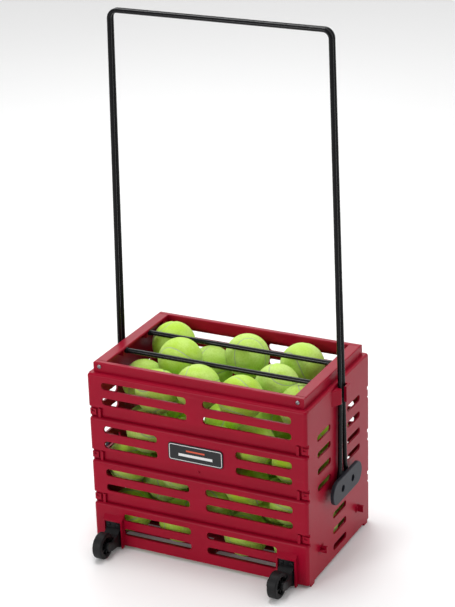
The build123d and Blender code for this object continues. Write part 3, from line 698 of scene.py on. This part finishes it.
class HopperFinish(bpy.types.PropertyGroup):
    """Colours and finishes."""

    shell_colour: colour_property("Shell", "Moulded basket plastic", (0.30, 0.0018, 0.019))
    shell_scuff: colour_property("Shell scuffs", "Faint rubbed marks on the shell", (0.5, 0.07, 0.11))
    shell_roughness: FloatProperty(name="Shell roughness", description="Lower is glossier",
                                   default=0.27, min=0.05, max=1.0)
    shell_gloss: FloatProperty(name="Shell gloss", description="Strength of its reflections",
                               default=0.12, min=0.0, max=1.0)
    shell_wear: FloatProperty(name="Shell wear", description="Strength of the rubbed marks",
                              default=0.35, min=0.0, max=1.0)
    black_colour: colour_property("Black plastic", "Forks, hubs and bars", (0.007, 0.007, 0.008))
    wire_colour: colour_property("Bail wire", "Powder coat on the bails", (0.004, 0.004, 0.005))
    slate_colour: colour_property("Bracket", "Nylon of the pivot brackets", (0.021, 0.0235, 0.033))
    zinc_colour: colour_property("Zinc", "Plated screws", (0.36, 0.36, 0.38))
    oxide_colour: colour_property("Black oxide", "Pins, axles and hidden screws", (0.02, 0.02, 0.022))
    felt_colour: colour_property("Felt", "Fresh yellow-green felt", (0.47, 0.75, 0.018))
    felt_pale: colour_property("Pale felt", "Felt that is more worn", (0.68, 0.90, 0.28))
    # Painted shade: a darker felt colour that stands in for shade between the tufts.
    felt_crevice_shade: colour_property("Deep felt", "Between the tufts", (0.36, 0.63, 0.005))
    felt_tip: colour_property("Felt tips", "Loose fibres that catch light", (0.74, 0.92, 0.42))
    seam_colour: colour_property("Seam", "Rubber seam of a ball", (0.42, 0.5, 0.32))
    seam_half: FloatProperty(name="Seam half width", description="As an angle from a ball's middle",
                             default=0.026, unit="ROTATION")
    label_colour: colour_property("Label", "Charcoal plate", (0.006, 0.006, 0.008))
    label_ink: colour_property("Label print", "Long bar and border", (0.7, 0.7, 0.7))
    label_accent: colour_property("Label accent", "Short bar", (0.62, 0.08, 0.03))
    floor_colour: colour_property("Floor", "Pale studio floor", (0.93, 0.93, 0.93))
    floor_glow: FloatProperty(name="Floor glow", description="Light that the floor adds itself",
                              default=0.05, min=0.0, max=1.0)


class HopperBalls(bpy.types.PropertyGroup):
    """Sizes of the balls."""

    ball_radius: FloatProperty(name="Ball radius", description="Over the felt", default=0.0335,
                               unit="LENGTH")
    seam_valley: FloatProperty(name="Seam valley", description="Half width of the dip at the seam",
                               default=0.0042, unit="LENGTH")
    seam_depth: FloatProperty(name="Seam depth", description="Depth of the dip at the seam",
                              default=0.0009, unit="LENGTH")
    seed: IntProperty(name="Seed", description="Chooses how the balls are turned", default=7)


class HopperScrews(bpy.types.PropertyGroup):
    """Sizes of the screws."""

    head_height: FloatProperty(name="Head height", description="Above the seat", default=0.002,
                               unit="LENGTH")
    screw_facets: IntProperty(name="Facets", description="Sides of a round head", default=32,
                              min=12, max=64)


class HopperClips(bpy.types.PropertyGroup):
    """Sizes of the snap clips and the leg pegs."""

    clip_reach: FloatProperty(name="Clip reach", description="Out from the side panel",
                              default=0.0128, unit="LENGTH")
    clip_wall: FloatProperty(name="Clip wall", description="Thickness of the hook's stem",
                             default=0.0033, unit="LENGTH")
    clip_ramp: FloatProperty(name="Clip ramp", description="Run of the ramp in front of the clip",
                             default=0.013, unit="LENGTH")
    hook_depth: FloatProperty(name="Hook depth", description="Thickness of the hook's tip",
                              default=0.004, unit="LENGTH")
    hook_length: FloatProperty(name="Hook length", description="Length of the hook along the panel",
                               default=0.0145, unit="LENGTH")
    peg_reach: FloatProperty(name="Peg reach", description="Out from the side panel",
                             default=0.0095, unit="LENGTH")
    peg_lip: FloatProperty(name="Peg lip", description="Thickness of the lip that holds a leg",
                           default=0.0042, unit="LENGTH")
    ramp_run: FloatProperty(name="Ramp run", description="Length of a peg's ramp", default=0.008,
                            unit="LENGTH")
    ramp_wall: FloatProperty(name="Ramp wall", description="Thickness of a peg's ramp",
                             default=0.0024, unit="LENGTH")


class HopperStage(bpy.types.PropertyGroup):
    """Camera and lights."""

    camera_place: FloatVectorProperty(name="Camera", description="Where the camera stands",
                                      subtype="XYZ", unit="LENGTH",
                                      default=(1.18494, -2.3198, 1.43534))
    camera_target: FloatVectorProperty(name="Target", description="What the camera looks at",
                                       subtype="XYZ", unit="LENGTH",
                                       default=(0.00096, 0.00049, 0.37225))
    camera_roll: FloatProperty(name="Roll", description="Tilt of the camera about its view",
                               default=math.radians(-1.78), unit="ROTATION")
    camera_lens: FloatProperty(name="Lens", description="Focal length in millimetres",
                               default=115.58)
    front_sky: FloatProperty(name="Front sky", description="White surroundings towards the front",
                             default=0.5)
    rear_sky: FloatProperty(name="Rear sky", description="White surroundings towards the rear",
                            default=1.3)
    top_power: FloatProperty(name="Top light", description="Small soft box overhead",
                             default=22.0, unit="POWER")
    front_power: FloatProperty(name="Front light", description="Low soft box that looks into the slots",
                               default=20.0, unit="POWER")
    back_power: FloatProperty(name="Back light", description="Soft box above the rear left",
                              default=12.0, unit="POWER")


# ---- operators ----------------------------------------------------------------------------
class HOPPER_OT_frame_finish(bpy.types.Operator):
    """Give every piece of the frame its finish"""

    bl_idname = "hopper.frame_finish"
    bl_label = "Frame finishes"

    def execute(self, context):
        for maker, names in CAD_FINISHES.items():
            for name in names:
                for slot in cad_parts[name].material_slots:
                    slot.material = finish_named(maker)
        return {"FINISHED"}


class HOPPER_OT_balls(bpy.types.Operator):
    """Put felt balls where the plain ones lie"""

    bl_idname = "hopper.balls"
    bl_label = "Felt balls"

    def execute(self, context):
        settings = context.scene.hopper_balls
        felt = finish_named(ball_felt)
        source = one_ball(settings, felt)
        for order, node in enumerate(BALL_NODES):
            places = [(low + high) / 2 for low, high in solids_of(node)]
            tree = ball_tree(source, felt, settings.seed + order)
            felted = tree.run(point_cloud(places), "felt_" + node, felt)
            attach(felted, "basket")
            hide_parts(node)
        bpy.data.objects.remove(source)
        return {"FINISHED"}


class HOPPER_OT_screws(bpy.types.Operator):
    """Put cross-head screws where the plain ones are"""

    bl_idname = "hopper.screws"
    bl_label = "Cross-head screws"

    def execute(self, context):
        settings = context.scene.hopper_screws
        head = screw_head(settings, finish_named(zinc_plate))
        for node, (maker, slot) in SCREW_ROWS.items():
            finish = finish_named(maker)
            places = []
            directions = []
            radius = 0.0
            for low, high in solids_of(node):
                middle = (low + high) / 2
                outwards = -1.0 if middle.y < 0 else 1.0
                seat = low.y + settings.head_height if outwards < 0 else high.y - settings.head_height
                places.append(Vector((middle.x, seat, middle.z)))
                directions.append((0.0, outwards, 0.0))
                radius = (high.x - low.x) / 2
            tree = screw_tree(head, radius, settings.head_height, finish)
            row = tree.run(point_cloud(places, directions), "cross_" + node, finish)
            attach(row, "basket")
            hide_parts(node)
        bpy.data.objects.remove(head)
        return {"FINISHED"}


class HOPPER_OT_clips(bpy.types.Operator):
    """Put whole snap clips and ramped pegs where the short ones are"""

    bl_idname = "hopper.clips"
    bl_label = "Clips and pegs"

    def execute(self, context):
        settings = context.scene.hopper_clips
        for maker, stem in ((clip_piece, "wire_clip"), (peg_piece, "lock_pegs")):
            for name, side in SIDES.items():
                node = f"{name}_{stem}"
                made = maker(settings, node, side)
                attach(made, "basket")
                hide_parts(node)
        return {"FINISHED"}


class HOPPER_OT_stage(bpy.types.Operator):
    """Set the floor, the lights and the camera"""

    bl_idname = "hopper.stage"
    bl_label = "Stage"

    def execute(self, context):
        settings = context.scene.hopper_stage
        self.make_floor()
        self.make_sky(context, settings)
        for name, (place, size) in LIGHTS.items():
            self.make_light(name, place, size, getattr(settings, name + "_power"))
        self.make_camera(context, settings)
        context.scene.view_settings.view_transform = "Standard"
        return {"FINISHED"}

    def make_floor(self):
        floor = bmesh.new()
        bmesh.ops.create_grid(floor, x_segments=1, y_segments=1, size=FLOOR_HALF)
        made = object_from(floor, "floor", finish_named(studio_floor), smooth=False)

    def make_sky(self, context, settings):
        sky = Shader("studio", bpy.data.worlds)
        direction = sky.node("ShaderNodeTexCoord", output="Generated")
        rearwards = sky.axes(direction)[1].fade(-0.7, 0.7)
        spread = settings.rear_sky - settings.front_sky
        strength = rearwards * spread + settings.front_sky
        glow = sky.node("ShaderNodeBackground", inputs={"Strength": strength})
        sky.node("ShaderNodeOutputWorld", inputs={"Surface": glow})
        context.scene.world = sky.material

    def make_light(self, name, place, size, power):
        lamp = bpy.data.lights.new(name, "AREA")
        lamp.shape = "DISK"
        lamp.size = size
        lamp.energy = power
        made = bpy.data.objects.new(name, lamp)
        bpy.context.scene.collection.objects.link(made)
        aim = LIGHT_AIM - Vector(place)
        made.rotation_mode = "QUATERNION"
        made.rotation_quaternion = aim.to_track_quat("-Z", "Y")
        made.location = place

    def make_camera(self, context, settings):
        data = bpy.data.cameras.new("view")
        data.lens = settings.camera_lens
        data.clip_end = 100.0
        made = bpy.data.objects.new("view", data)
        context.scene.collection.objects.link(made)
        place = Vector(settings.camera_place)
        back = (place - Vector(settings.camera_target)).normalized()
        level = Vector((0.0, 0.0, 1.0)).cross(back).normalized()
        upright = back.cross(level)
        right = level * math.cos(settings.camera_roll) + upright * math.sin(settings.camera_roll)
        up = back.cross(right)
        turn = Matrix((right, up, back)).transposed().to_4x4()
        made.matrix_world = Matrix.Translation(place) @ turn
        context.scene.camera = made


# ---- panel and registration ---------------------------------------------------------------
OPERATORS = (HOPPER_OT_frame_finish, HOPPER_OT_balls, HOPPER_OT_screws, HOPPER_OT_clips,
             HOPPER_OT_stage)
GROUPS = {
    "hopper_finish": HopperFinish,
    "hopper_balls": HopperBalls,
    "hopper_screws": HopperScrews,
    "hopper_clips": HopperClips,
    "hopper_stage": HopperStage,
}


class HOPPER_PT_sidebar(bpy.types.Panel):
    """Lists the hopper's pieces"""

    bl_idname = "HOPPER_PT_sidebar"
    bl_label = "Tennis ball hopper"
    bl_space_type = "VIEW_3D"
    bl_region_type = "UI"
    bl_category = "Hopper"

    def draw(self, context):
        for operator in OPERATORS:
            self.layout.operator(operator.bl_idname)
        for name, group in GROUPS.items():
            box = self.layout.box()
            for key in group.__annotations__:
                box.prop(getattr(context.scene, name), key)


def register():
    for group in GROUPS.values():
        bpy.utils.register_class(group)
    for operator in OPERATORS:
        bpy.utils.register_class(operator)
    bpy.utils.register_class(HOPPER_PT_sidebar)
    for name, group in GROUPS.items():
        setattr(bpy.types.Scene, name, PointerProperty(type=group))


def unregister():
    for name in GROUPS:
        delattr(bpy.types.Scene, name)
    bpy.utils.unregister_class(HOPPER_PT_sidebar)
    for operator in reversed(OPERATORS):
        bpy.utils.unregister_class(operator)
    for group in reversed(list(GROUPS.values())):
        bpy.utils.unregister_class(group)


def main():
    register()
    bpy.ops.hopper.stage()
    bpy.ops.hopper.frame_finish()
    bpy.ops.hopper.balls()
    bpy.ops.hopper.screws()
    bpy.ops.hopper.clips()


if __name__ == "__main__":
    main()
